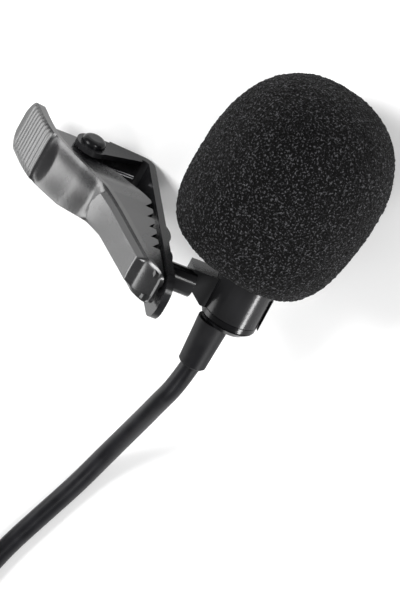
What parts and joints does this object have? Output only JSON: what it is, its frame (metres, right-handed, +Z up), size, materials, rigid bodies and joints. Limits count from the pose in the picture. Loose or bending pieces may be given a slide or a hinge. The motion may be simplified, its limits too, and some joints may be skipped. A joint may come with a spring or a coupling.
{
  "type": "lavalier microphone",
  "caption": "Clip-on lavalier microphone: foam windscreen, slim capsule in a split holder, sprung toothed clip, coiled lead and jack plug.",
  "frame": {"origin": "on the table, under the middle of the microphone's box without its lead", "axes": "+X along the capsule's axis towards the windscreen, +Y towards the clip, +Z up from the table"},
  "size_m": [0.1423, 0.0716, 0.0276],
  "materials": {
    "black_enamel": "semi-gloss black enamel",
    "gloss_plastic": "gloss black",
    "steel_mesh": "woven",
    "bright_metal": "bright plate",
    "brass": "satin",
    "insulator": "matt",
    "soft_rubber": "matt",
    "cable_jacket": "satin",
    "wire_insulation": "matt",
    "tie_strap": "woven",
    "open_cell_foam": "open-cell foam, matt"
  },
  "bodies": {
    "microphone": {"capsule_housing": "black_enamel", "rear_cap": "black_enamel", "grille_cap": "black_enamel", "grille_mesh": "steel_mesh", "electret_can": "bright_metal", "diaphragm_ring": "brass", "spacer_washer": "insulator", "electret_backplate": "brass", "contact_ring": "brass", "preamp_board": "insulator", "preamp_chip": "insulator", "element_gasket": "soft_rubber", "strain_relief": "soft_rubber", "cord_end": "cable_jacket", "cable_clamp": "bright_metal", "signal_wire": "wire_insulation", "shield_wire": "bright_metal", "cord_run": "cable_jacket", "cord_coil": "cable_jacket", "cord_tail": "cable_jacket", "coil_tie": "tie_strap", "plug_relief": "soft_rubber", "plug_body": "gloss_plastic", "plug_sleeve": "bright_metal", "plug_insulator_rear": "insulator", "plug_ring": "bright_metal", "plug_insulator_front": "insulator", "plug_tip": "bright_metal"},
    "windscreen": {"windscreen": "open_cell_foam"},
    "holder": {"holder_ring": "gloss_plastic"},
    "clip": {"clip_plate": "black_enamel", "bump_stop": "black_enamel", "neck_washer": "black_enamel", "hinge_pin": "black_enamel", "torsion_spring": "bright_metal"},
    "lever": {"clip_lever": "gloss_plastic", "thumb_ridges": "gloss_plastic"}
  },
  "joints": [
    {"name": "windscreen_pull", "type": "slide", "parent": "microphone", "child": "windscreen", "axis": [1, 0, 0], "range_m": [0, 0.02]},
    {"name": "holder_turn", "type": "hinge", "parent": "microphone", "child": "holder", "pos_m": [-0.01134, -0.01448, 0.01211], "axis": [1, 0, 0], "continuous": true},
    {"name": "clip_swivel", "type": "hinge", "parent": "holder", "child": "clip", "pos_m": [-0.01134, -0.00555, 0.01854], "axis": [0, 0.8114, 0.5846], "range_deg": [-18, 25]},
    {"name": "lever_squeeze", "type": "hinge", "parent": "clip", "child": "lever", "pos_m": [-0.00979, 0.01591, 0.00671], "axis": [-0.9976, 0.0408, -0.0566], "range_deg": [0, 22], "stiffness_Nm_per_rad": 0.05, "springref_deg": -17.19, "deforming": ["torsion_spring"]}
  ]
}
